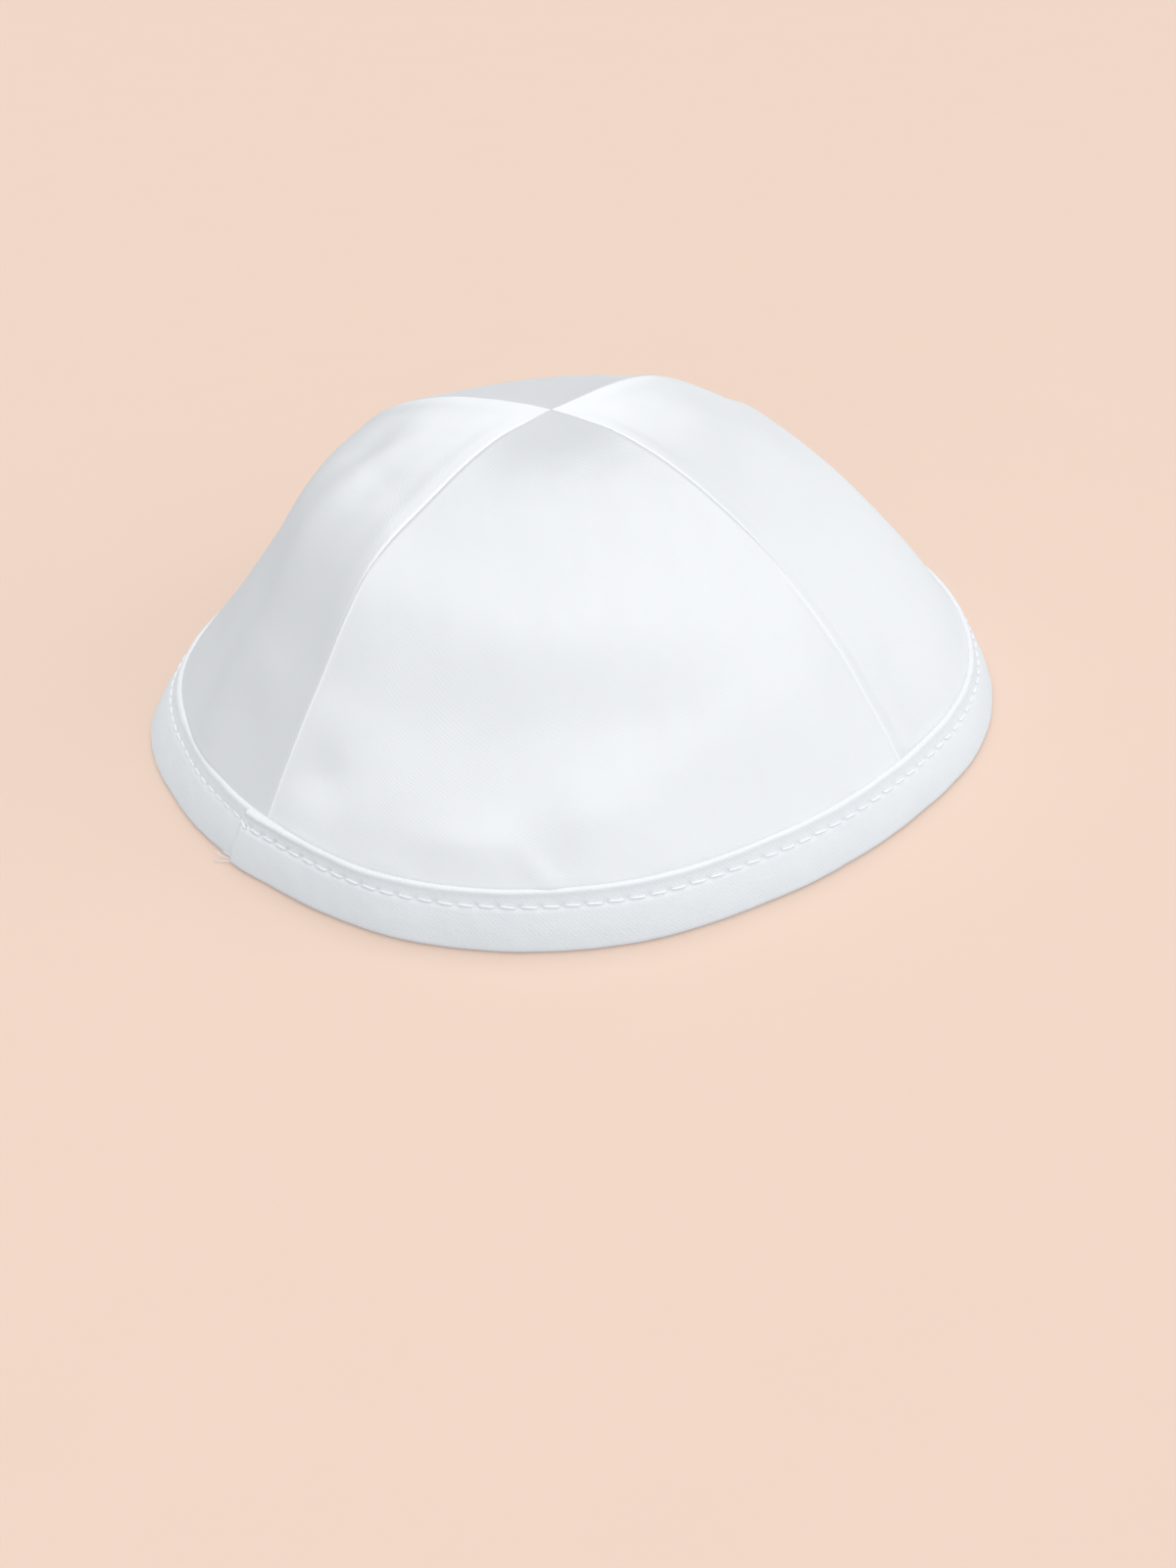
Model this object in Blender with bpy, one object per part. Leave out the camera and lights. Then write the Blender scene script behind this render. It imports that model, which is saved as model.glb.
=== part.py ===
"""Four-panel satin kippah with a folded rim tape, standing on its rim.

Metres, +Z up. The floor is z = 0 and the front panel faces -Y.
Azimuths are counted from the front, towards +X.
"""
from math import atan2, cos, degrees, exp, pi, radians, sin, sqrt

import bmesh
import bpy
from mathutils import Vector

MM = 0.001

# Sizes in millimetres
RIM_RADIUS = 76.0
BAND_HEIGHT = 11.3
TAPE_THICKNESS = 1.0
PANEL_THICKNESS = 1.0
SLOT_WIDTH = 1.8
PANEL_INSET = 1.3
TUCK_DEPTH = 6.5
SEAM_GAP = 0.3
CROWN_OFFSET_X = -1.7
CROWN_OFFSET_Y = 0.5

# Mesh counts
PANEL_COLUMNS = 20
DOME_ROWS = 18
TUCK_ROWS = 2
BAND_STEPS = 92

PANEL_AZIMUTHS = {
    "panel_front": 0.0,
    "panel_right": 90.0,
    "panel_back": 180.0,
    "panel_left": 270.0,
}

# The four seams, from the rim to the crown. The rises tilt the dome towards one side.
SEAM = (
    # share, radius, height, back_rise, right_rise
    (0.00, 76.0, 0.0, 0.0, 0.0),
    (0.16, 69.5, 10.0, 1.9, 0.1),
    (0.33, 60.8, 21.3, 2.9, 0.4),
    (0.52, 47.1, 33.1, 1.3, -1.1),
    (0.70, 31.2, 40.7, 0.9, 0.0),
    (0.86, 15.2, 44.8, -0.1, 0.0),
    (1.00, 0.0, 45.7, 0.0, 0.0),
)

# How far the middle of each panel lies inside the round dome that the seams would give
DIP = (
    # share, panel_front, panel_right, panel_back, panel_left
    (0.00, 0.0, 0.0, 0.0, 0.0),
    (0.16, 2.6, 2.5, 2.3, 3.2),
    (0.33, 3.6, 4.5, 3.0, 4.4),
    (0.52, 2.0, 3.5, 2.7, 2.1),
    (0.70, 1.8, 2.8, 1.6, 1.8),
    (0.86, 1.6, 1.6, 1.5, 1.6),
    (1.00, 0.0, 0.0, 0.0, 0.0),
)

# The rim is a little out of round, and the band's lower edge stands out past its upper edge
RIM = (
    # azimuth, radius, flare
    (0.0, 81.0, 1.2),
    (22.5, 76.4, 1.6),
    (45.0, 73.8, 2.5),
    (67.5, 74.3, 3.8),
    (90.0, 73.8, 4.8),
    (112.5, 74.2, 4.4),
    (135.0, 76.0, 3.8),
    (157.5, 77.6, 3.4),
    (180.0, 77.6, 3.4),
    (202.5, 76.0, 3.8),
    (225.0, 74.4, 4.6),
    (247.5, 74.6, 6.2),
    (270.0, 75.6, 7.6),
    (292.5, 75.0, 5.2),
    (315.0, 77.2, 2.6),
    (337.5, 81.4, 1.2),
    (360.0, 81.0, 1.2),
)

# Soft dents (minus) and swells (plus) in the cloth
DENTS = (
    # azimuth, share, width in degrees, length in share, height
    (-15.0, 0.05, 9.0, 0.06, -1.0),
    (-5.0, 0.06, 4.0, 0.08, 0.9),
    (6.0, 0.07, 8.0, 0.08, -0.7),
    (-36.0, 0.11, 7.0, 0.07, 0.8),
    (-37.0, 0.27, 8.0, 0.09, -0.9),
    (3.0, 0.90, 40.0, 0.06, -0.8),
    (-70.0, 0.45, 9.0, 0.30, 0.9),
    (-58.0, 0.35, 6.0, 0.22, -0.8),
    (58.0, 0.20, 6.0, 0.20, -0.9),
    (134.0, 0.80, 25.0, 0.12, 1.2),
)


def smooth_column(table, column, at):
    """Reads one column of a table, on a smooth curve through its rows."""
    last = len(table) - 1
    row = max(i for i in range(last) if table[i][0] <= at or i == 0)
    here, there = table[row], table[row + 1]
    step = there[0] - here[0]
    part = min(max((at - here[0]) / step, 0.0), 1.0)

    def slope(i):
        before, after = table[max(i - 1, 0)], table[min(i + 1, last)]
        return (after[column] - before[column]) / (after[0] - before[0])

    rest = 1.0 - part
    return (
        (1 + 2 * part) * rest ** 2 * here[column]
        + part * rest ** 2 * step * slope(row)
        + part ** 2 * (3 - 2 * part) * there[column]
        - part ** 2 * rest * step * slope(row + 1)
    )


def angle_between(a, b):
    """Signed difference of two azimuths, in degrees."""
    return (a - b + 180.0) % 360.0 - 180.0


def rim_loop():
    """The rim's rows with one more at each end, so that the curve closes smoothly."""
    before, after = RIM[-2], RIM[1]
    return ((before[0] - 360.0, *before[1:]), *RIM, (after[0] + 360.0, *after[1:]))


def rim_wave(azimuth):
    """How far the rim departs from a circle."""
    return smooth_column(rim_loop(), 1, azimuth % 360.0) - RIM_RADIUS


def flare(azimuth):
    return smooth_column(rim_loop(), 2, azimuth % 360.0)


def dent(azimuth, share):
    """Height of the soft dents and swells, faded out where the band holds the cloth."""
    total = sum(
        height * exp(-(angle_between(azimuth, centre) / width) ** 2 - ((share - place) / length) ** 2)
        for centre, place, width, length, height in DENTS
    )
    return total * min(share / 0.06, 1.0) * min((1.0 - share) / 0.08, 1.0)


def seam_normal(share):
    """Outward direction across the seam's curve, as radius and height."""
    low, high = max(share - 0.002, 0.0), min(share + 0.002, 1.0)
    run = smooth_column(SEAM, 1, high) - smooth_column(SEAM, 1, low)
    rise = smooth_column(SEAM, 2, high) - smooth_column(SEAM, 2, low)
    length = sqrt(run * run + rise * rise)
    return rise / length, -run / length


def crease(offset):
    """1 in the middle of a panel and 0 on its seams, 45 degrees to each side."""
    edge = cos(radians(45.0))
    return (1.0 - edge / cos(radians(offset))) / (1.0 - edge)


def dome_point(panel, offset, share, depth):
    """A point of a panel, as far under its face as depth. Offset is from the panel's middle."""
    azimuth = PANEL_AZIMUTHS[panel] + offset
    dip_column = 1 + list(PANEL_AZIMUTHS).index(panel)
    out, up = seam_normal(share)
    inward = smooth_column(DIP, dip_column, share) * crease(offset)
    lift = dent(azimuth, share) - inward - depth
    turn = radians(azimuth)
    radius = smooth_column(SEAM, 1, share) + rim_wave(azimuth) * (1.0 - share) ** 1.6
    radius += lift * out - PANEL_INSET * (1.0 - share) ** 6
    height = BAND_HEIGHT + smooth_column(SEAM, 2, share) + lift * up
    height -= smooth_column(SEAM, 3, share) * sqrt(2.0) * cos(turn)
    height += smooth_column(SEAM, 4, share) * sqrt(2.0) * sin(turn)
    return Vector((
        max(radius, 0.0) * sin(turn) + CROWN_OFFSET_X * share,
        -max(radius, 0.0) * cos(turn) + CROWN_OFFSET_Y * share,
        height,
    ))


def tuck_point(panel, offset, below, depth):
    """A point of the panel's raw edge, hidden in the band, below the rim."""
    rim = dome_point(panel, offset, 0.0, depth)
    azimuth = PANEL_AZIMUTHS[panel] + offset
    turn = radians(azimuth)
    out = flare(azimuth) * below / BAND_HEIGHT
    return Vector((rim.x + out * sin(turn), rim.y - out * cos(turn), BAND_HEIGHT - below))


def panel_point(panel, across, along, depth):
    """Across runs from -1 to 1 between the seams, along from 0 at the raw edge to 1 at the crown."""
    row = along * (DOME_ROWS + TUCK_ROWS)
    offset = 45.0 * across
    if row < TUCK_ROWS:
        point = tuck_point(panel, offset, TUCK_DEPTH * (1.0 - row / TUCK_ROWS), depth)
    else:
        point = dome_point(panel, offset, min((row - TUCK_ROWS) / DOME_ROWS, 1.0), depth)
    turn = radians(PANEL_AZIMUTHS[panel])
    aside = SEAM_GAP / 2.0 * sqrt(2.0)
    return (point + Vector((aside * sin(turn), -aside * cos(turn), 0.0))) * MM


def cloth_layer(mesh, panel, depth):
    """One face of the cloth: a grid drawn over the panel, closed to a tip at the crown."""
    grid = bmesh.ops.create_grid(
        mesh, x_segments=PANEL_COLUMNS, y_segments=DOME_ROWS + TUCK_ROWS, size=1.0
    )
    for vertex in grid["verts"]:
        across, along = vertex.co.x, (vertex.co.y + 1.0) / 2.0
        vertex.co = panel_point(panel, across, along, depth)


def add_object(name, mesh, collection, material):
    data = bpy.data.meshes.new(name)
    mesh.to_mesh(data)
    mesh.free()
    data.materials.append(material)
    data.shade_smooth()
    data.set_sharp_from_angle(angle=radians(40.0))
    thing = bpy.data.objects.new(name, data)
    collection.objects.link(thing)
    return thing


def make_panel(panel, collection, material):
    mesh = bmesh.new()
    cloth_layer(mesh, panel, 0.0)
    cloth_layer(mesh, panel, PANEL_THICKNESS)
    bmesh.ops.remove_doubles(mesh, verts=mesh.verts, dist=0.00001)
    border = [edge for edge in mesh.edges if edge.is_boundary]
    bmesh.ops.bridge_loops(mesh, edges=border)
    bmesh.ops.recalc_face_normals(mesh, faces=mesh.faces)
    return add_object(panel, mesh, collection, material)


def lip(inset, top):
    """Rounded upper edge of one wall of the folded tape, from its outer side to its inner."""
    half = TAPE_THICKNESS / 2.0
    return [
        (inset + half - half * cos(radians(turn)), top - half + half * sin(radians(turn)))
        for turn in (0, 60, 120, 180)
    ]


def band_section():
    """Outline of the folded tape, as inset from its outer face and height."""
    inner = TAPE_THICKNESS + SLOT_WIDTH
    full = inner + TAPE_THICKNESS
    slot_floor = BAND_HEIGHT - TUCK_DEPTH - 1.2
    middle = TAPE_THICKNESS + SLOT_WIDTH / 2.0
    outline = lip(0.0, BAND_HEIGHT)
    outline += [
        (TAPE_THICKNESS, slot_floor + 0.7),
        (middle, slot_floor),
        (inner, slot_floor + 0.7),
    ]
    outline += lip(inner, BAND_HEIGHT)
    outline += [
        (full, 1.1),
        (full - 0.3, 0.3),
        (full - 1.0, 0.0),
        (0.8, 0.0),
        (0.2, 0.3),
        (0.0, 1.1),
    ]
    return outline


def make_band(collection, material):
    """The tape's section, turned once round and moved to the rim's own shape."""
    mesh = bmesh.new()
    ring = [mesh.verts.new((RIM_RADIUS - inset, 0.0, height)) for inset, height in band_section()]
    edges = [mesh.edges.new((a, b)) for a, b in zip(ring, ring[1:] + ring[:1])]
    bmesh.ops.spin(
        mesh, geom=ring + edges, cent=(0, 0, 0), axis=(0, 0, 1),
        angle=2 * pi, steps=BAND_STEPS, use_merge=True,
    )
    for vertex in mesh.verts:
        azimuth = degrees(atan2(vertex.co.x, -vertex.co.y))
        out = rim_wave(azimuth) + flare(azimuth) * (1.0 - vertex.co.z / BAND_HEIGHT)
        vertex.co += Vector((vertex.co.x, vertex.co.y, 0.0)).normalized() * out
    bmesh.ops.scale(mesh, vec=(MM, MM, MM), verts=mesh.verts)
    bmesh.ops.recalc_face_normals(mesh, faces=mesh.faces)
    return add_object("rim_band", mesh, collection, material)


def cloth_material(name, colour, roughness):
    material = bpy.data.materials.new(name)
    material.use_nodes = True
    shader = material.node_tree.nodes["Principled BSDF"]
    shader.inputs["Base Color"].default_value = (*colour, 1.0)
    shader.inputs["Roughness"].default_value = roughness
    shader.inputs["Metallic"].default_value = 0.0
    return material


def centre_on_floor(things):
    """Moves the whole kippah so that its bounding box is centred over the origin."""
    points = [vertex.co for thing in things for vertex in thing.data.vertices]
    middle_x = (min(p.x for p in points) + max(p.x for p in points)) / 2.0
    middle_y = (min(p.y for p in points) + max(p.y for p in points)) / 2.0
    for thing in things:
        for vertex in thing.data.vertices:
            vertex.co -= Vector((middle_x, middle_y, 0.0))
    print(f"centred by {-middle_x / MM:.2f}, {-middle_y / MM:.2f} mm")


def main():
    for thing in list(bpy.data.objects):
        bpy.data.objects.remove(thing, do_unlink=True)
    collection = bpy.data.collections.new("kippah")
    bpy.context.scene.collection.children.link(collection)
    satin = cloth_material("white satin", (0.86, 0.88, 0.91), 0.38)
    tape = cloth_material("white tape", (0.84, 0.86, 0.89), 0.62)
    things = [make_panel(panel, collection, satin) for panel in PANEL_AZIMUTHS]
    things.append(make_band(collection, tape))
    centre_on_floor(things)


main()
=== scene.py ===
from functools import lru_cache
from math import cos, exp, pi, radians, sin, sqrt, tan

import bmesh
import bpy
from mathutils import Matrix, Vector, noise


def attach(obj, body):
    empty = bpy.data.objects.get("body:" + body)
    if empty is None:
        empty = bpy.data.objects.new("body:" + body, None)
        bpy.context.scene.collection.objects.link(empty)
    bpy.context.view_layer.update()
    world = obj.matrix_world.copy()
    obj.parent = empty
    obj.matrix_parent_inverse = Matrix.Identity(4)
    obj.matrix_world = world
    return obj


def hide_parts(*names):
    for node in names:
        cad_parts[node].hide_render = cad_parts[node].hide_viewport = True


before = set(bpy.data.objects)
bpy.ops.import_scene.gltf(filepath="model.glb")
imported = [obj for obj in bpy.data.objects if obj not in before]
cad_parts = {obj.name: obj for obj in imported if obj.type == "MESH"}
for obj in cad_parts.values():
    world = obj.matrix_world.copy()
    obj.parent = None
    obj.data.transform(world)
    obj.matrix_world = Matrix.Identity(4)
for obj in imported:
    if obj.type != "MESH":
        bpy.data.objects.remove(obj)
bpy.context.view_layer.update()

mm = 0.001
weld = 0.000002

# the form shared by every piece, in millimetres and degrees, azimuths counted from the front panel
form = {
    "rimRadius": 76.0,
    "bandHeight": 11.3,
    "crownOffset": (-1.7, 0.5),
    "centre": (2.26, 0.76),
    "seamLength": 94.0,
    # share of the way from rim to crown, radius, height, rise to the back, rise to the right
    "seam": (
        (0.00, 76.0, 0.0, 0.0, 0.0),
        (0.16, 69.5, 10.0, 1.9, 0.1),
        (0.33, 60.8, 21.3, 2.9, 0.4),
        (0.52, 47.1, 33.1, 1.3, -1.1),
        (0.70, 31.2, 40.7, 0.9, 0.0),
        (0.86, 15.2, 44.8, -0.1, 0.0),
        (1.00, 0.0, 45.7, 0.0, 0.0),
    ),
    # azimuth, rim radius, how far the band's lower edge stands out
    "rim": (
        (-22.5, 81.4, 1.2),
        (0.0, 81.0, 1.2),
        (22.5, 76.4, 1.6),
        (45.0, 73.8, 2.5),
        (67.5, 74.3, 3.8),
        (90.0, 73.8, 4.8),
        (112.5, 74.2, 4.4),
        (135.0, 76.0, 3.8),
        (157.5, 77.6, 3.4),
        (180.0, 77.6, 3.4),
        (202.5, 76.0, 3.8),
        (225.0, 74.4, 4.6),
        (247.5, 74.6, 6.2),
        (270.0, 75.6, 7.6),
        (292.5, 75.0, 5.2),
        (315.0, 77.2, 2.6),
        (337.5, 81.4, 1.2),
        (360.0, 81.0, 1.2),
        (382.5, 76.4, 1.6),
    ),
}
rimMiddle = Vector((*form["centre"], 0.0))


def readRow(rows, column, at):
    # reads one column of a table on a smooth curve through its rows
    last = len(rows) - 1
    i = max(k for k in range(last) if rows[k][0] <= at or k == 0)
    step = rows[i + 1][0] - rows[i][0]
    t = min(max((at - rows[i][0]) / step, 0.0), 1.0)

    def slope(k):
        before, after = rows[max(k - 1, 0)], rows[min(k + 1, last)]
        return (after[column] - before[column]) / (after[0] - before[0])

    s = 1.0 - t
    return (
        (1 + 2 * t) * s * s * rows[i][column] + t * s * s * step * slope(i)
        + t * t * (3 - 2 * t) * rows[i + 1][column] - t * t * s * step * slope(i + 1)
    )


@lru_cache(None)
def rimAt(azimuth):
    at = azimuth % 360.0
    return readRow(form["rim"], 1, at) - form["rimRadius"], readRow(form["rim"], 2, at)


@lru_cache(None)
def seamAt(share):
    low, high = max(share - 0.002, 0.0), min(share + 0.002, 1.0)
    run = readRow(form["seam"], 1, high) - readRow(form["seam"], 1, low)
    rise = readRow(form["seam"], 2, high) - readRow(form["seam"], 2, low)
    size = sqrt(run * run + rise * rise)
    radius, height, back, right = (readRow(form["seam"], k, share) for k in (1, 2, 3, 4))
    return radius, height, back, right, rise / size, -run / size


def blendIn(low, high, at):
    # 0 below low, 1 above high, smooth between
    t = min(max((at - low) / (high - low), 0.0), 1.0)
    return t * t * (3.0 - 2.0 * t)


def turned(azimuth, radius, height):
    # a point from azimuth, radius and height, in millimetres
    a = radians(azimuth)
    return Vector((radius * sin(a), -radius * cos(a), height))


def keepPiece(name, mesh, material, node=None):
    # stores a finished bmesh, in place, as one smooth piece that rides on the only body
    data = bpy.data.meshes.new(name)
    mesh.to_mesh(data)
    mesh.free()
    data.materials.append(material)
    data.shade_smooth()
    piece = bpy.data.objects.new(name, data)
    bpy.context.scene.collection.objects.link(piece)
    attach(piece, "root")
    if node:
        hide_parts(node)
    print(f"{name}: {sum(len(p.vertices) - 2 for p in data.polygons)} triangles")
    return piece


# materials: one small class for shader sums, one for the nodes


class Link:
    # one output socket; arithmetic on it adds Math nodes
    def __init__(self, look, socket):
        self.look, self.socket = look, socket

    def join(self, operation, first, second):
        return self.look.node("ShaderNodeMath", {"operation": operation}, {0: first, 1: second})

    def __add__(self, other):
        return self.join("ADD", self, other)

    def __radd__(self, other):
        return self.join("ADD", other, self)

    def __sub__(self, other):
        return self.join("SUBTRACT", self, other)

    def __rsub__(self, other):
        return self.join("SUBTRACT", other, self)

    def __mul__(self, other):
        return self.join("MULTIPLY", self, other)

    def __rmul__(self, other):
        return self.join("MULTIPLY", other, self)


class Look:
    # a material under construction
    def __init__(self, name):
        self.material = bpy.data.materials.new(name)
        self.material.use_nodes = True
        self.tree = self.material.node_tree
        self.tree.nodes.clear()

    def node(self, kind, settings=None, inputs=None, output=0):
        made = self.tree.nodes.new(kind)
        for key, value in (settings or {}).items():
            setattr(made, key, value)
        for key, value in (inputs or {}).items():
            if isinstance(value, Link):
                self.tree.links.new(value.socket, made.inputs[key])
            else:
                made.inputs[key].default_value = value
        return Link(self, made.outputs[output])

    def cloth(self):
        # the piece's own map: metres along the rim and metres up the cloth
        return self.node("ShaderNodeUVMap", {"uv_map": "cloth"})

    def mapped(self, place, name, value):
        return self.node("ShaderNodeMapping", {"vector_type": "POINT"}, {"Vector": place, name: value})

    def clouds(self, place, scale, detail, roughness=0.5):
        inputs = {"Vector": place, "Scale": scale, "Detail": detail, "Roughness": roughness}
        return self.node("ShaderNodeTexNoise", None, inputs)

    def ribs(self, place, turn, pitch, distortion, detail, detailScale):
        # parallel ribs of the weave, pitch metres apart
        inputs = {
            "Vector": self.mapped(place, "Rotation", (0, 0, radians(turn))),
            "Scale": 2 * pi / (20 * pitch),
            "Distortion": distortion,
            "Detail": detail,
            "Detail Scale": detailScale,
        }
        kind = {"wave_type": "BANDS", "bands_direction": "X"}
        return self.node("ShaderNodeTexWave", kind, inputs, output=1)

    def mixed(self, factor, first, second):
        inputs = {"Factor": factor, 6: first, 7: second}
        return self.node("ShaderNodeMix", {"data_type": "RGBA"}, inputs, output=2)

    def bumped(self, strength, depth, height):
        return self.node("ShaderNodeBump", None, {"Strength": strength, "Distance": depth, "Height": height})

    def finish(self, shader):
        end = self.tree.nodes.new("ShaderNodeOutputMaterial")
        self.tree.links.new(shader.socket, end.inputs["Surface"])
        return self.material


satin = {
    "colour": (0.90, 0.912, 0.928, 1.0),
    "shade": (0.865, 0.88, 0.90, 1.0),
    # painted highlight: a whiter colour laid along the seams where light catches the rolled edge
    "highlightColour": (0.965, 0.98, 0.995, 1.0),
    "highlightFrom": 0.35,         # mm from the seam where the painted highlight on the rolled edge starts to fade
    "highlightTo": 0.95,
    "metal": 0.34,
    "roughness": 0.53,
    "anisotropy": 1.0,
    "sheen": 0.12,
    "twillPitch": 0.00065,
    "twillTurn": -52.0,
    "threadScale": 900.0,
    "threadStretch": (5.0, 0.45, 1.0),
    "slubScale": 190.0,
    "slubStretch": (1.0, 0.25, 1.0),
    "washScale": 26.0,
    "bump": 0.24,
    "bumpDepth": 0.00012,
}


def satinLook():
    look = Look("white satin")
    cloth = look.cloth()
    twill = look.ribs(cloth, satin["twillTurn"], satin["twillPitch"], 4.0, 3.0, 1.2)
    threads = look.clouds(look.mapped(cloth, "Scale", satin["threadStretch"]), satin["threadScale"], 3.0, 0.6)
    slubs = look.clouds(look.mapped(cloth, "Scale", satin["slubStretch"]), satin["slubScale"], 4.0, 0.55)
    wash = look.clouds(cloth, satin["washScale"], 2.0)
    colour = look.mixed(wash * 0.5 + slubs * 0.5, satin["shade"], satin["colour"])
    # the edge map holds the distance from the seam in mm, and how strong the painted highlight along the seam
    # is
    edge = look.node("ShaderNodeUVMap", {"uv_map": "edge"})
    fromSeam = look.node("ShaderNodeSeparateXYZ", None, {"Vector": edge}, output=0)
    weight = look.node("ShaderNodeSeparateXYZ", None, {"Vector": edge}, output=1)
    near = look.node("ShaderNodeMapRange", {"interpolation_type": "SMOOTHSTEP"}, {
        "Value": fromSeam,
        "From Min": satin["highlightFrom"],
        "From Max": satin["highlightTo"],
        "To Min": 1.0,
        "To Max": 0.0,
    })
    # strength of the painted highlight here; it also takes some metal from the gloss
    highlightMask = near * weight
    height = twill * 0.25 + threads * 0.45 + slubs * 0.45
    shader = look.node("ShaderNodeBsdfPrincipled", None, {
        "Base Color": look.mixed(highlightMask, colour, satin["highlightColour"]),
        "Roughness": satin["roughness"] + (slubs - 0.5) * 0.12 + (threads - 0.5) * 0.08,
        "Metallic": satin["metal"] - highlightMask * 0.2,
        "Specular IOR Level": 0.55,
        "Anisotropic": satin["anisotropy"],
        "Sheen Weight": satin["sheen"],
        "Sheen Roughness": 0.45,
        "Normal": look.bumped(satin["bump"], satin["bumpDepth"], height),
    })
    return look.finish(shader)


tape = {
    "colour": (0.87, 0.882, 0.898, 1.0),
    "shade": (0.80, 0.82, 0.845, 1.0),
    "roughness": 0.72,
    "sheen": 0.15,
    "ribPitch": 0.00055,
    "ribTurn": -40.0,
    "fuzzScale": 1500.0,
    "mottleScale": 160.0,
    "bump": 0.55,
    "bumpDepth": 0.00018,
}


def tapeLook():
    look = Look("white woven tape")
    cloth = look.cloth()
    ribs = look.ribs(cloth, tape["ribTurn"], tape["ribPitch"], 3.0, 2.0, 0.8)
    fuzz = look.clouds(cloth, tape["fuzzScale"], 4.0, 0.65)
    mottle = look.clouds(cloth, tape["mottleScale"], 3.0)
    shader = look.node("ShaderNodeBsdfPrincipled", None, {
        "Base Color": look.mixed(fuzz * 0.6 + mottle * 0.4, tape["shade"], tape["colour"]),
        "Roughness": tape["roughness"] + (mottle - 0.5) * 0.15,
        "Metallic": 0.0,
        "Specular IOR Level": 0.35,
        "Sheen Weight": tape["sheen"],
        "Sheen Roughness": 0.5,
        "Normal": look.bumped(tape["bump"], tape["bumpDepth"], ribs * 0.12 + fuzz * 0.85 + mottle * 0.6),
    })
    return look.finish(shader)


thread = {
    "colour": (0.90, 0.92, 0.94, 1.0),
    "roughness": 0.42,
    "twistScale": 2500.0,
    "bump": 0.35,
    "bumpDepth": 0.00008,
}


def threadLook():
    look = Look("white sewing thread")
    place = look.node("ShaderNodeTexCoord", output=3)
    twist = look.clouds(place, thread["twistScale"], 2.0)
    shader = look.node("ShaderNodeBsdfPrincipled", None, {
        "Base Color": thread["colour"],
        "Roughness": thread["roughness"] + twist * 0.15,
        "Specular IOR Level": 0.5,
        "Normal": look.bumped(thread["bump"], thread["bumpDepth"], twist),
    })
    return look.finish(shader)


def floorLook():
    look = Look("pale floor")
    place = look.node("ShaderNodeTexCoord", output=3)
    grain = look.clouds(place, studio["floorGrain"], 2.0)
    shader = look.node("ShaderNodeBsdfPrincipled", None, {
        "Base Color": look.mixed(grain, studio["floorShade"], studio["floorColour"]),
        "Roughness": 0.9,
        "Specular IOR Level": 0.1,
    })
    return look.finish(shader)


# the four crown panels

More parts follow.
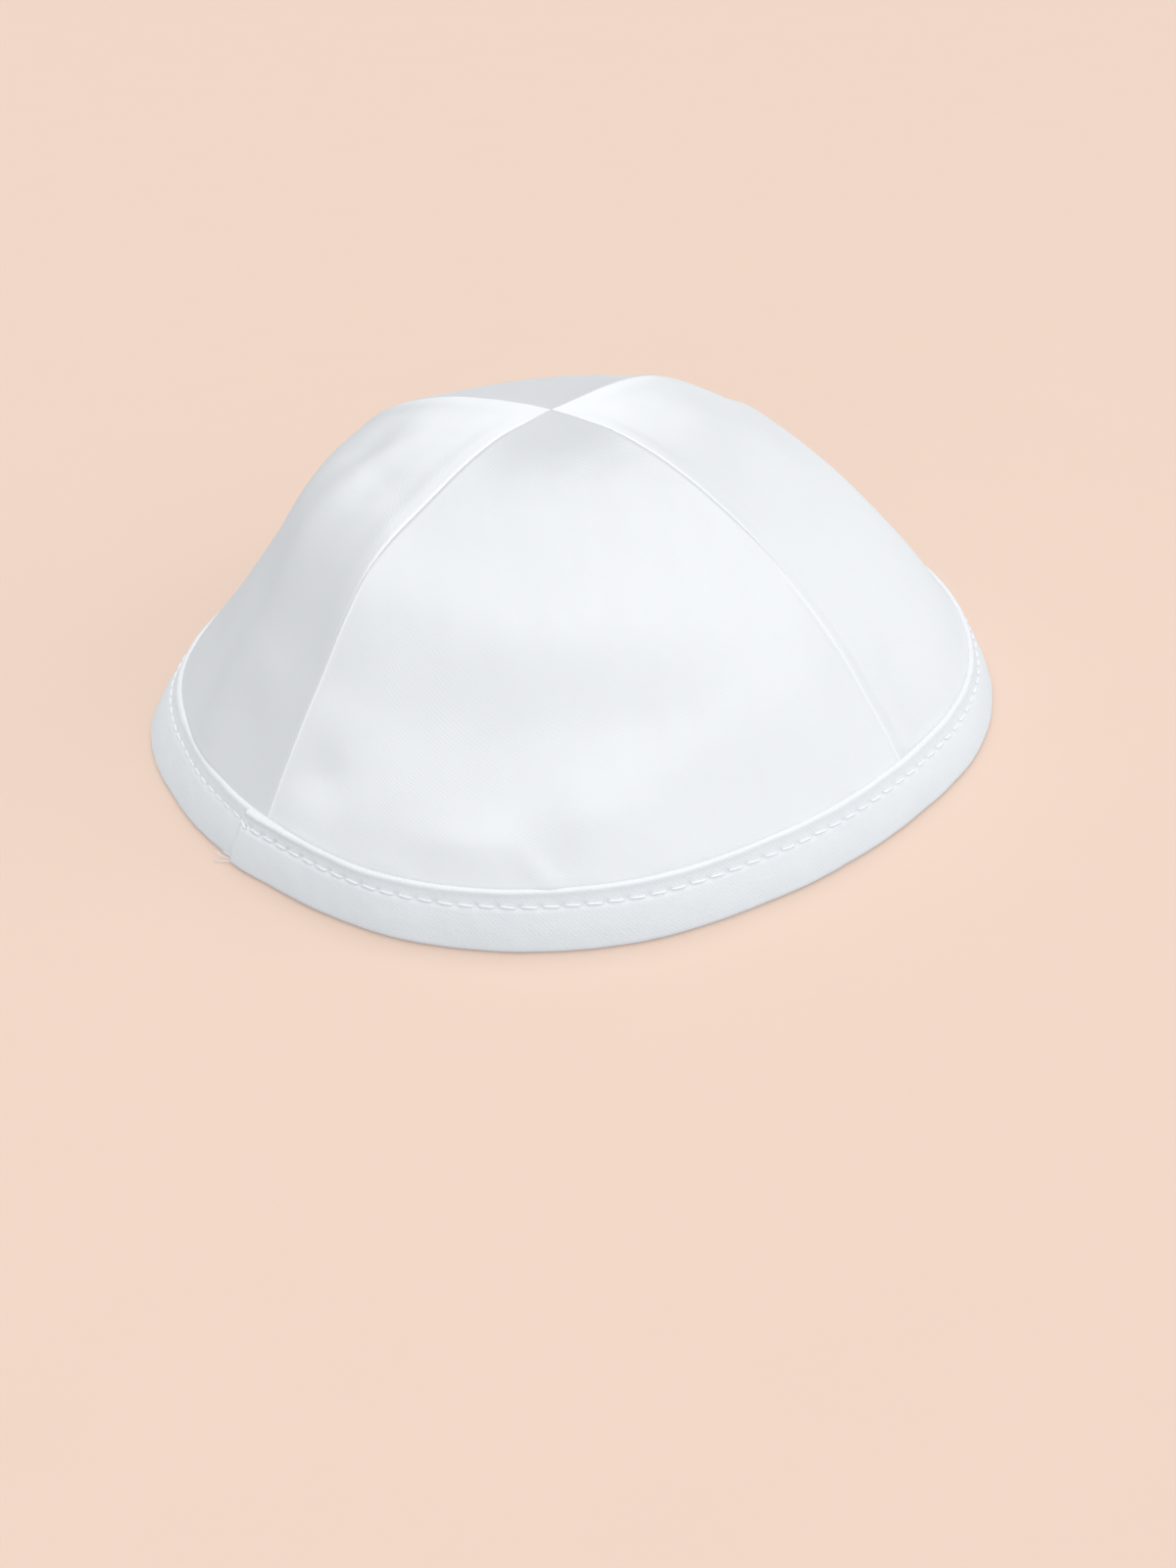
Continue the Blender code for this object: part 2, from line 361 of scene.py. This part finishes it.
crown = {
    "halfPanel": 45.0,        # degrees from a panel's middle to its seams
    "columns": 120,
    "rows": 140,
    "tuckRows": 4,
    "tuckDepth": 6.0,         # of cloth held inside the tape
    "thickness": 0.9,
    "inset": 0.78,            # of the cloth from the tape's face, at the rim
    "seamGap": 0.05,
    "crowding": 1.6,          # how much closer the columns lie at the seams
    "grooveDepth": 0.21,
    "grooveWidth": 0.34,
    "grooveLow": 0.45,        # share of its depth low down, and from where to where it deepens
    "grooveRange": (0.35, 0.6),
    "grooveTip": (2.0, 9.0),  # in mm from the middle of the crown, where the seams even out
    "rollFade": 0.08,
    "heldShare": 0.05,        # how far up the tape holds the cloth, and how far folds may move it there
    "heldRange": (-0.3, 0.5),
    "tipShare": 0.05,         # folds fade out this near to the middle of the crown
    "waveFade": 1.6,          # how fast the rim's wave and the tape's grip are left behind
    "insetFade": 6,
    "ripples": ((17.0, 0.20), (5.0, 0.04)),       # size and height in mm
    "rippleHeight": 60.0,
    "gather": 0.28,
    "gatherReach": 7.0,
    "gatherSpace": (13.8, 4.0),
    "calmShare": 0.02,        # the tape leaves no ripple in the cloth below this
    # how strong the painted highlight on the rolled edges is, a whiter colour where light catches the seams:
    # lower left, lower right and upper ones
    "paintedHighlight": {
        "panelFront": (1.0, 0.45, 0.0),
        "panelRight": (0.0, 0.0, 0.2),
        "panelBack": (1.0, 1.0, 0.0),
        "panelLeft": (0.0, 0.0, 0.2),
    },
    "upperRange": (0.42, 0.58),       # shares between which the upper painted highlight takes over
    # panel, sides of it, height, distance from the seam and width in mm, from and to which share
    "seamRolls": (
        ("panelLeft", (1, -1), 0.22, 3.0, 2.4, 0.42, 1.2),
        ("panelRight", (1, -1), 0.19, 2.4, 1.7, 0.50, 1.2),
        ("panelFront", (-1,), 0.18, 0.7, 0.45, -0.2, 0.48),
        ("panelFront", (1,), 0.10, 0.7, 0.45, -0.2, 0.48),
        ("panelBack", (1, -1), 0.18, 0.7, 0.45, -0.2, 0.48),
        ("panelRight", (-1,), -0.45, 2.8, 1.7, 0.02, 0.52),
    ),
    "sharpFrom": 50.0,
    "flatCut": (0.118, 0.101),
    "flatArea": 0.0079,
    # middle azimuth, and the point that the satin's lengthwise threads circle
    "panels": {
        "panelFront": (0.0, (0.0, 1.0)),
        "panelRight": (90.0, (1.0, 0.0)),
        "panelBack": (180.0, (0.0, 1.0)),
        "panelLeft": (270.0, (1.0, 0.0)),
    },
    # share, how far the middle of each panel lies inside the round dome of the seams
    "dip": (
        (0.00, 0.0, 0.0, 0.0, 0.0),
        (0.16, 0.4, 1.8, 2.3, 3.2),
        (0.33, 1.9, 4.2, 3.0, 4.3),
        (0.52, 2.5, 3.4, 2.6, 2.2),
        (0.70, 1.9, 2.7, 1.5, 0.9),
        (0.86, 1.2, 1.5, 1.4, 0.8),
        (1.00, 0.0, 0.0, 0.0, 0.0),
    ),
    # azimuth, share, half width and half length in mm, turn in degrees, height in mm
    "folds": (
        (-15.0, 0.10, 7.5, 6.0, 0.0, 0.9),
        (-6.5, 0.02, 1.7, 7.0, 24.0, 0.6),
        (-0.5, 0.16, 5.5, 8.0, -4.0, 0.85),
        (-38.0, 0.165, 5.5, 6.5, 0.0, -0.9),
        (22.0, 0.28, 13.0, 12.0, 0.0, 0.6),
        (-31.0, 0.46, 6.5, 7.5, 20.0, -0.5),
        (11.0, 0.33, 9.0, 8.0, -15.0, -0.4),
        (4.0, 0.92, 4.0, 3.5, 0.0, -0.15),
        (-61.5, 0.68, 6.5, 15.0, 15.0, 0.5),
        (-76.0, 0.57, 7.0, 15.0, 22.0, 1.25),
        (-68.0, 0.22, 9.5, 20.0, 10.0, 1.7),
        (-59.0, 0.29, 8.0, 8.0, 0.0, 1.0),
        (-101.0, 0.64, 6.0, 7.0, 0.0, -0.6),
        (-92.0, 0.12, 8.0, 10.0, 0.0, -0.6),
        (53.5, 0.30, 4.5, 16.0, -20.0, 0.3),
        (72.0, 0.55, 9.0, 10.0, 0.0, -0.4),
        (134.0, 0.80, 9.0, 11.0, 0.0, 1.2),
        (160.0, 0.22, 8.0, 10.0, 10.0, -0.9),
        (203.0, 0.16, 7.0, 12.0, -8.0, -0.8),
        (182.0, 0.48, 12.0, 9.0, 0.0, -0.5),
    ),
}


@lru_cache(None)
def dipAt(panel, share):
    return readRow(crown["dip"], 1 + list(crown["panels"]).index(panel), share)


def foldHeight(azimuth, share, radius):
    total = 0.0
    for centre, place, width, length, turn, height in crown["folds"]:
        aside = radians((azimuth - centre + 180.0) % 360.0 - 180.0) * radius
        along = (share - place) * form["seamLength"]
        if max(abs(aside), abs(along)) > 3 * (width + length):
            continue
        c, s = cos(radians(turn)), sin(radians(turn))
        across, lengthwise = aside * c + along * s, along * c - aside * s
        total += height * exp(-(across / width) ** 2 - (lengthwise / length) ** 2)
    free = blendIn(0.0, crown["heldShare"], share)
    lowest, highest = crown["heldRange"]
    total = total * free + min(max(total, lowest), highest) * (1.0 - free)
    return total * min((1.0 - share) / crown["tipShare"], 1.0)


def clothRipple(azimuth, share, radius):
    # the small unevenness of sewn cloth, stronger where the band gathers it
    spot = turned(azimuth, radius, share * crown["rippleHeight"])
    soft = sum(height * noise.noise(spot / size) for size, height in crown["ripples"])
    fade = exp(-share * form["seamLength"] / crown["gatherReach"])
    ring, rise = crown["gatherSpace"]
    gather = crown["gather"] * fade * noise.noise(turned(azimuth, ring, share * rise))
    return (soft + gather) * min(share / crown["calmShare"], 1.0)


def fromSeam(offset, radius):
    # millimetres from a place on a panel to the nearer seam
    return radius * sin(radians(crown["halfPanel"] - abs(offset)))


def seamRelief(panel, side, gap, share, radius):
    # the cloth rolls down into the seam, gap millimetres away; side is 1 where the azimuth grows
    deeper = crown["grooveLow"] + (1.0 - crown["grooveLow"]) * blendIn(*crown["grooveRange"], share)
    relief = -crown["grooveDepth"] * exp(-(gap / crown["grooveWidth"]) ** 2) * deeper
    fade = crown["rollFade"]
    for name, sides, height, middle, width, low, high in crown["seamRolls"]:
        if name == panel and side in sides:
            here = blendIn(low - fade, low + fade, share) * (1.0 - blendIn(high - fade, high + fade, share))
            relief += height * exp(-((gap - middle) / width) ** 2) * here
    return relief * blendIn(*crown["grooveTip"], radius)


def crownPoint(panel, offset, share, depth):
    azimuth = crown["panels"][panel][0] + offset
    radius, height, back, right, out, up = seamAt(share)
    wave = rimAt(azimuth)[0]
    edge = cos(radians(crown["halfPanel"]))
    dip = dipAt(panel, share) * (1.0 - edge / cos(radians(offset))) / (1.0 - edge)
    gap = fromSeam(offset, radius)
    side = 1 if offset > 0 else -1
    lift = foldHeight(azimuth, share, radius) + clothRipple(azimuth, share, radius)
    lift += seamRelief(panel, side, gap, share, radius) - dip - depth
    a = radians(azimuth)
    rest = 1.0 - share
    inset = crown["inset"] * rest ** crown["insetFade"]
    reach = radius + wave * rest ** crown["waveFade"] + lift * out - inset
    # back and right are the rises at the seams, so they are scaled up by the root of two
    top = form["bandHeight"] + height + lift * up + sqrt(2.0) * (right * sin(a) - back * cos(a))
    return turned(azimuth, max(reach, 0.0), top) + Vector((*form["crownOffset"], 0.0)) * share


def panelPoint(panel, across, along, depth):
    row = along * (crown["rows"] + crown["tuckRows"])
    outward = 1.0 - (1.0 - abs(across)) ** crown["crowding"]
    offset = crown["halfPanel"] * outward * (1 if across > 0 else -1)
    if row < crown["tuckRows"]:
        azimuth = crown["panels"][panel][0] + offset
        below = crown["tuckDepth"] * (1.0 - row / crown["tuckRows"])
        point = crownPoint(panel, offset, 0.0, depth)
        point += turned(azimuth, rimAt(azimuth)[1] * below / form["bandHeight"], 0.0)
        point.z = form["bandHeight"] - below
        share = -below / form["seamLength"]
    else:
        share = min((row - crown["tuckRows"]) / crown["rows"], 1.0)
        point = crownPoint(panel, offset, share, depth)
    point += turned(crown["panels"][panel][0], crown["seamGap"] / 2.0 * sqrt(2.0), 0.0)
    point += rimMiddle
    radius = seamAt(max(share, 0.0))[0]
    # how strong the painted seam highlight is at this point, handed to the edge map
    upper = blendIn(*crown["upperRange"], share)
    leftHighlight, rightHighlight, upperHighlight = crown["paintedHighlight"][panel]
    edgeHighlight = (rightHighlight if across > 0 else leftHighlight) * (1.0 - upper) + upperHighlight * upper
    gap = fromSeam(offset, radius)
    return point * mm, (radians(offset) * radius * mm, share * form["seamLength"] * mm), (gap, edgeHighlight)


def panelLayer(mesh, panel, depth, uvs, edges):
    rows = crown["rows"] + crown["tuckRows"]
    grid = bmesh.ops.create_grid(mesh, x_segments=crown["columns"], y_segments=rows, size=1.0)
    places = {}
    for vertex in grid["verts"]:
        vertex.co, *places[vertex] = panelPoint(panel, vertex.co.x, (vertex.co.y + 1.0) / 2.0, depth)
    for face in {face for vertex in grid["verts"] for face in vertex.link_faces}:
        for loop in face.loops:
            loop[uvs].uv, loop[edges].uv = places[loop.vert]


def makePanel(panel, node, material):
    mesh = bmesh.new()
    # the edge map carries the distance from the seam and the strength of the painted highlight
    uvs, edges = mesh.loops.layers.uv.new("cloth"), mesh.loops.layers.uv.new("edge")
    panelLayer(mesh, panel, 0.0, uvs, edges)
    panelLayer(mesh, panel, crown["thickness"], uvs, edges)
    bmesh.ops.remove_doubles(mesh, verts=mesh.verts, dist=weld)
    border = [edge for edge in mesh.edges if edge.is_boundary]
    bmesh.ops.bridge_loops(mesh, edges=border)
    bmesh.ops.recalc_face_normals(mesh, faces=mesh.faces)
    piece = keepPiece(panel, mesh, material, node)
    piece.data.set_sharp_from_angle(angle=radians(crown["sharpFrom"]))
    # the satin's gloss is stretched along circles round the middle of this space
    piece.data.use_auto_texspace = False
    piece.data.texspace_location = (*crown["panels"][panel][1], 0.03)
    piece.data.texspace_size = (1.0, 1.0, 1.0)
    return piece


# the rim band and its stitching

band = {
    "steps": 1240,
    "wall": 1.0,
    "slot": 1.8,
    "slotFloor": 3.6,
    "foldRadius": 1.1,
    "rowPitch": 0.19,
    "fineRows": (1.2, 0.7),   # of the section, below and above the stitches
    "innerMap": 20.0,         # the inner face lies this much higher on the map
    "puff": 0.45,             # how far the tape swells below the stitches, and the inner face's share of it
    "innerPuff": 0.4,
    "puffPower": 0.8,
    "stitchHeight": 8.5,
    "stitchPitch": 3.35,
    "channelHeight": 9.4,
    "channelWidth": 1.15,
    "stitchChannel": 0.17,
    "creaseDepth": 0.16,      # under each stitch
    "creaseDrop": 0.3,
    "creaseWidth": 0.3,
    "holeDepth": 0.30,
    "holeWidth": 0.42,
    "holeShare": 0.38,        # of the way from a stitch's middle to the next one's
    # how much harder or softer the tape is pressed past the join and before it, over how many degrees
    "pastJoin": (0.9, 15.0),
    "beforeJoin": (-0.65, 40.0),
    "easing": (0.5, 52.0, 84.0),      # how much softer far past it, from and to which degrees
    "ripples": ((9.0, 0.16), (3.0, 0.07)),        # size and height in mm
    "lipRipple": 0.10,
    "lipSpace": (12.0, 9.0),
    "lipFrom": 0.6,           # share of the height where the lip's ripple starts
    "joinAzimuth": -48.3,
    "joinSlant": -0.26,       # degrees for each millimetre down from the lip
    "joinStep": 0.75,
    "joinFade": 8.0,
    "joinCrowding": (0.8, 8.0),       # how much closer the columns lie, and over how many degrees
    "slantReach": 6.0,
}


def bandSection():
    # outline of the folded tape as inset and height, outer lip first
    wall, slot, top, fold = band["wall"], band["slot"], form["bandHeight"], band["foldRadius"]
    inner, full = wall + slot, wall * 2 + slot

    def arc(inset, height, radius, start, end, count):
        angles = [radians(start + (end - start) * k / count) for k in range(count + 1)]
        return [(inset - radius * cos(angle), height + radius * sin(angle)) for angle in angles]

    def run(first, second, pitch):
        count = max(int(abs(second[1] - first[1]) / pitch), 1)
        return [
            (first[0] + (second[0] - first[0]) * k / count, first[1] + (second[1] - first[1]) * k / count)
            for k in range(1, count)
        ]

    half, bottom = wall / 2.0, band["slotFloor"] + slot / 2
    outline = arc(half, top - half, half, 0, 180, 8)
    outline += run((wall, top - half), (wall, bottom), 1.5)
    outline += arc(wall + slot / 2, bottom, slot / 2, 0, -180, 4)
    outline += run((inner, bottom), (inner, top - half), 1.5)
    outline += arc(inner + half, top - half, half, 0, 180, 8)
    outline += run((full, top - half), (full, fold), 0.8)
    outline += arc(full - fold, fold, fold, 180, 270, 5)
    outline += arc(fold, fold, fold, -90, 0, 6)
    # fine rows only where the stitches press the tape
    below, above = band["stitchHeight"] - band["fineRows"][0], band["stitchHeight"] + band["fineRows"][1]
    for low, high, pitch in ((fold, below, 0.5), (below, above, band["rowPitch"]), (above, top - half, 0.3)):
        outline += run((0.0, low), (0.0, high), pitch)
        outline.append((0.0, high))
    outline.pop()
    return outline


@lru_cache(None)
def stitchMarks():
    # azimuths of the stitches' middles, evenly spaced along the rim
    count = 1440
    lengths = [0.0]
    before = turned(-180.0, form["rimRadius"] + rimAt(-180.0)[0], 0.0)
    for k in range(1, count + 1):
        azimuth = -180.0 + 360.0 * k / count
        after = turned(azimuth, form["rimRadius"] + rimAt(azimuth)[0], 0.0)
        lengths.append(lengths[-1] + (after - before).length)
        before = after
    number = round(lengths[-1] / band["stitchPitch"])
    marks, k = [], 0
    for i in range(number):
        goal = lengths[-1] * (i + 0.5) / number
        while lengths[k + 1] < goal:
            k += 1
        part = (goal - lengths[k]) / (lengths[k + 1] - lengths[k])
        marks.append(-180.0 + 360.0 * (k + part) / count)
    return tuple(marks)


@lru_cache(None)
def stitchPhase(azimuth):
    # 0 at the middle of a stitch, 1 at a needle hole
    marks = stitchMarks()
    near = min(marks, key=lambda m: abs((azimuth - m + 180.0) % 360.0 - 180.0))
    away = abs((azimuth - near + 180.0) % 360.0 - 180.0)
    return min(away / (180.0 / len(marks)), 1.0)


def joinOffset(azimuth, height):
    # degrees past the lapped join, which slants down the tape
    line = band["joinAzimuth"] + band["joinSlant"] * (form["bandHeight"] - height)
    return (azimuth - line + 180.0) % 360.0 - 180.0


def bandRelief(azimuth, height, inset):
    # how far the tape's face stands out from its plain section
    outer = inset < band["wall"] * 0.6
    inner = inset > band["wall"] * 1.5 + band["slot"]
    if not (outer or inner):
        return 0.0
    above = height - band["stitchHeight"]
    below = max(-above, 0.0)
    swell = sin(pi * min(below / band["stitchHeight"], 1.0)) ** band["puffPower"]
    relief = band["puff"] * swell * (1.0 if outer else band["innerPuff"])
    channel = exp(-((height - band["channelHeight"]) / band["channelWidth"]) ** 4)
    atHole = max(stitchPhase(azimuth) - 1.0 + band["holeShare"], 0.0) / band["holeShare"]
    hole = exp(-(above / band["holeWidth"]) ** 2) * atHole
    crease = exp(-((above + band["creaseDrop"]) / band["creaseWidth"]) ** 2)
    dent = channel * band["stitchChannel"] + hole * band["holeDepth"] + crease * band["creaseDepth"]
    past = joinOffset(azimuth, height)
    if outer:
        # the lapped end is sewn down harder than the end beneath it, and the stitching eases to the right
        change, reach = band["pastJoin"] if past > 0.0 else band["beforeJoin"]
        dent *= 1.0 + change * exp(-(past / reach) ** 2)
        easing, start, end = band["easing"]
        dent *= 1.0 - easing * blendIn(start, end, past)
    relief -= dent
    spot = turned(azimuth, form["rimRadius"], height)
    relief += sum(high * noise.noise(spot / size) for size, high in band["ripples"])
    if outer and past > 0.0:
        relief += band["joinStep"] * exp(-(past / band["joinFade"]) ** 2)
    return relief


def bandPoint(azimuth, inset, height):
    wave, flare = rimAt(azimuth)
    relief = bandRelief(azimuth, height, inset)
    side = 1.0 if inset < band["wall"] * 1.5 else -1.0
    radius = form["rimRadius"] + wave - inset + flare * (1.0 - height / form["bandHeight"]) + side * relief
    nearLip = max(height / form["bandHeight"] - band["lipFrom"], 0.0) / (1.0 - band["lipFrom"])
    lift = band["lipRipple"] * noise.noise(turned(azimuth, *band["lipSpace"])) * nearLip
    return turned(azimuth, radius, height + lift)


def spreadAzimuth(away):
    # draws the columns together at the tape's join, so that its step is crisp, and tells how near it is
    closer, reach = band["joinCrowding"]
    azimuth = band["joinAzimuth"] + away * (1.0 - closer * exp(-(away / reach) ** 2))
    return azimuth, exp(-(away / band["slantReach"]) ** 2)


def makeBand(material):
    mesh = bmesh.new()
    uvs = mesh.loops.layers.uv.new("cloth")
    outline = bandSection()
    count = len(outline)
    grid = bmesh.ops.create_grid(mesh, x_segments=band["steps"], y_segments=count, size=1.0)
    places = {}
    for vertex in grid["verts"]:
        inset, height = outline[round((vertex.co.y + 1.0) / 2.0 * count) % count]
        azimuth, near = spreadAzimuth(vertex.co.x * 180.0)
        azimuth = round(azimuth + band["joinSlant"] * (form["bandHeight"] - height) * near, 5)
        vertex.co = (bandPoint(azimuth, inset, height) + rimMiddle) * mm
        if inset > band["wall"] + band["slot"] / 2:
            height += band["innerMap"]
        places[vertex] = (radians(azimuth) * form["rimRadius"] * mm, height * mm)
    for face in mesh.faces:
        for loop in face.loops:
            loop[uvs].uv = places[loop.vert]
    bmesh.ops.remove_doubles(mesh, verts=mesh.verts, dist=weld)
    bmesh.ops.recalc_face_normals(mesh, faces=mesh.faces)
    return keepPiece("rimBand", mesh, material, "rim_band")


stitches = {
    "length": 2.85,
    "thickness": 0.40,
    "tilt": 4.0,
    "tiltSpread": 3.0,
    "proud": 0.15,
    "sunk": 0.20,             # how much deeper they lie before the join, and over how many degrees
    "sunkReach": 40.0,
    # of the bead: how blunt its ends are, how much it swells towards them and how far they dive
    "blunt": 0.12,
    "swell": 0.7,
    "dive": 0.9,
}


def stitchBead():
    # one stitch that lies across the origin, in millimetres: blunt ends that dive into the cloth
    bead = bmesh.new()
    bmesh.ops.create_uvsphere(bead, u_segments=8, v_segments=6, radius=1.0)
    bmesh.ops.rotate(bead, cent=(0, 0, 0), matrix=Matrix.Rotation(radians(90.0), 3, "Y"), verts=bead.verts)
    for vertex in bead.verts:
        x = vertex.co.x
        vertex.co.x = x * (1.0 + stitches["blunt"] * (1.0 - x * x))
        swell = 1.0 + stitches["swell"] * (1.0 - abs(x)) * abs(x)
        vertex.co.y = vertex.co.y * swell - stitches["dive"] * x ** 4
        vertex.co.z *= swell
    size = (stitches["length"] / 2.0, stitches["thickness"] / 2.0, stitches["thickness"] / 2.0)
    bmesh.ops.scale(bead, vec=size, verts=bead.verts)
    data = bpy.data.meshes.new("stitchBead")
    bead.to_mesh(data)
    bead.free()
    return data


def makeStitches(material):
    # one row of machine stitches outside, and the same row from the inside of the band
    mesh = bmesh.new()
    bead = stitchBead()
    height, full = band["stitchHeight"], band["wall"] * 2 + band["slot"]
    for inset, side in ((0.0, 1.0), (full, -1.0)):
        for azimuth in stitchMarks():
            a = round(azimuth, 4)
            middle = bandPoint(a, inset, height) + rimMiddle
            ahead = bandPoint(a + 0.5, inset, height) - bandPoint(a - 0.5, inset, height)
            ahead.z = 0.0
            ahead.normalize()
            outward = Vector((ahead.y, -ahead.x, 0.0)) * side
            past = joinOffset(a, height)
            middle += outward * stitches["proud"]
            if side > 0.0 and past < 0.0:
                middle -= outward * stitches["sunk"] * exp(-(past / stitches["sunkReach"]) ** 2)
            spread = stitches["tiltSpread"] * noise.noise(Vector((azimuth, 1.0, side)))
            lean = radians(stitches["tilt"] + spread)
            axes = Matrix((
                (ahead.x, outward.x, 0.0, middle.x),
                (ahead.y, outward.y, 0.0, middle.y),
                (0.0, 0.0, 1.0, middle.z),
                (0.0, 0.0, 0.0, 1.0),
            ))
            one = bead.copy()
            one.transform(Matrix.Scale(mm, 4) @ axes @ Matrix.Rotation(lean, 4, "Y"))
            mesh.from_mesh(one)
            bpy.data.meshes.remove(one)
    bpy.data.meshes.remove(bead)
    bmesh.ops.recalc_face_normals(mesh, faces=mesh.faces)
    return keepPiece("rimStitches", mesh, material)


frays = {
    "radius": 0.07,
    # azimuth, height and how far out of each thread's points, from the join's lower corner
    "threads": (
        ((-50.9, 0.9, 0.3), (-51.6, 1.2, 0.7), (-52.5, 1.0, 1.0), (-53.4, 1.5, 1.3)),
        ((-50.9, 0.5, 0.3), (-51.5, 0.6, 0.9), (-52.2, 0.3, 1.5), (-52.8, 0.35, 2.2)),
        ((-50.8, 1.4, 0.3), (-51.3, 1.9, 0.6), (-52.0, 2.1, 0.8)),
    ),
}


def makeFrays(material):
    mesh = bmesh.new()
    for line in frays["threads"]:
        curve = bpy.data.curves.new("fray", "CURVE")
        curve.dimensions = "3D"
        curve.bevel_depth = frays["radius"] * mm
        curve.bevel_resolution = 1
        curve.use_fill_caps = True
        spline = curve.splines.new("POLY")
        spline.points.add(len(line) - 1)
        for spot, (azimuth, height, out) in zip(spline.points, line):
            foot = form["rimRadius"] + sum(rimAt(azimuth))
            point = (turned(azimuth, foot + out, height) + rimMiddle) * mm
            spot.co = (*point, 1.0)
        holder = bpy.data.objects.new("fray", curve)
        bpy.context.scene.collection.objects.link(holder)
        bpy.context.view_layer.update()
        tube = bpy.data.meshes.new_from_object(holder.evaluated_get(bpy.context.evaluated_depsgraph_get()))
        mesh.from_mesh(tube)
        bpy.data.objects.remove(holder)
        bpy.data.meshes.remove(tube)
    bmesh.ops.remove_doubles(mesh, verts=mesh.verts, dist=weld)
    bmesh.ops.recalc_face_normals(mesh, faces=mesh.faces)
    return keepPiece("joinFrays", mesh, material)


# floor, lights and camera

studio = {
    "floorRadius": 3.0,
    "floorColour": (0.830, 0.640, 0.530, 1.0),
    "floorShade": (0.822, 0.632, 0.522, 1.0),
    "floorGrain": 40.0,
    "world": (0.96, 0.98, 1.0),
    "worldStrength": 0.58,
    # soft light: where it comes from, its spread in degrees, strength, colour
    "lights": (
        ("overhead", (0.0, 0.06, 1.0), 62.0, 1.02, (1.0, 1.0, 1.0)),
        ("frontFill", (-0.05, -0.60, 0.95), 50.0, 0.14, (1.0, 1.0, 1.0)),
        ("lowFill", (0.36, -1.0, 0.28), 95.0, 1.05, (1.0, 1.0, 1.0)),
        ("rightFill", (0.93, -0.05, 0.37), 42.0, 0.30, (1.0, 1.0, 1.0)),
    ),
}


def makeStudio():
    mesh = bmesh.new()
    bmesh.ops.create_circle(mesh, cap_ends=True, segments=96, radius=studio["floorRadius"])
    data = bpy.data.meshes.new("floor")
    mesh.to_mesh(data)
    mesh.free()
    data.materials.append(floorLook())
    floor = bpy.data.objects.new("floor", data)
    # its colour isn't thrown back onto the white cloth
    floor.visible_diffuse = floor.visible_glossy = False
    bpy.context.scene.collection.objects.link(floor)
    world = bpy.data.worlds.new("studio")
    bpy.context.scene.world = world
    world.use_nodes = True
    back = world.node_tree.nodes["Background"]
    back.inputs["Color"].default_value = (*studio["world"], 1.0)
    back.inputs["Strength"].default_value = studio["worldStrength"]
    for name, source, spread, strength, colour in studio["lights"]:
        lamp = bpy.data.lights.new(name, "SUN")
        lamp.angle, lamp.energy, lamp.color = radians(spread), strength, colour
        holder = bpy.data.objects.new(name, lamp)
        holder.location = source
        holder.rotation_euler = (-Vector(source)).to_track_quat("-Z", "Y").to_euler()
        bpy.context.scene.collection.objects.link(holder)


# angles in degrees: the camera looks at the target, and is then panned, tilted and rolled
camera = {
    "target": (2.26, 0.76, 11.3),   # middle of the rim, in millimetres
    "elevation": 28.07,
    "azimuth": -1.14,
    "distance": 342.0,
    "focal": 1821.15,               # in pixels of the frame
    "frameHeight": 1600.0,
    "sensor": 36.0,
    "pan": 0.045,
    "tilt": -4.704,
    "roll": -3.924,
}


def makeCamera():
    e, a = radians(camera["elevation"]), radians(camera["azimuth"])
    back = Vector((sin(a) * cos(e), -cos(a) * cos(e), sin(e)))
    right = Vector((0, 0, 1)).cross(back).normalized()
    up = back.cross(right)
    ahead = (right * tan(radians(camera["pan"])) + up * tan(radians(camera["tilt"])) - back).normalized()
    side = Vector((0, 0, 1)).cross(-ahead).normalized()
    above = (-ahead).cross(side)
    c, s = cos(radians(camera["roll"])), sin(radians(camera["roll"]))
    side, above = side * c + above * s, above * c - side * s
    data = bpy.data.cameras.new("camera")
    data.sensor_width = camera["sensor"]
    data.lens = camera["sensor"] * camera["focal"] / camera["frameHeight"]
    data.clip_start, data.clip_end = 0.01, 20.0
    holder = bpy.data.objects.new("camera", data)
    place = (Vector(camera["target"]) + back * camera["distance"]) * mm
    holder.matrix_world = Matrix((
        (side.x, above.x, -ahead.x, place.x),
        (side.y, above.y, -ahead.y, place.y),
        (side.z, above.z, -ahead.z, place.z),
        (0.0, 0.0, 0.0, 1.0),
    ))
    bpy.context.scene.collection.objects.link(holder)
    bpy.context.scene.camera = holder


makeStudio()
makeCamera()
print("studio ready")
satinCloth, wovenTape, sewingThread = satinLook(), tapeLook(), threadLook()
for panel, node in zip(crown["panels"], ("panel_front", "panel_right", "panel_back", "panel_left")):
    makePanel(panel, node, satinCloth)
print("crown ready")
makeBand(wovenTape)
makeStitches(sewingThread)
makeFrays(sewingThread)
print("band ready")
bpy.context.scene.view_settings.view_transform = "Standard"
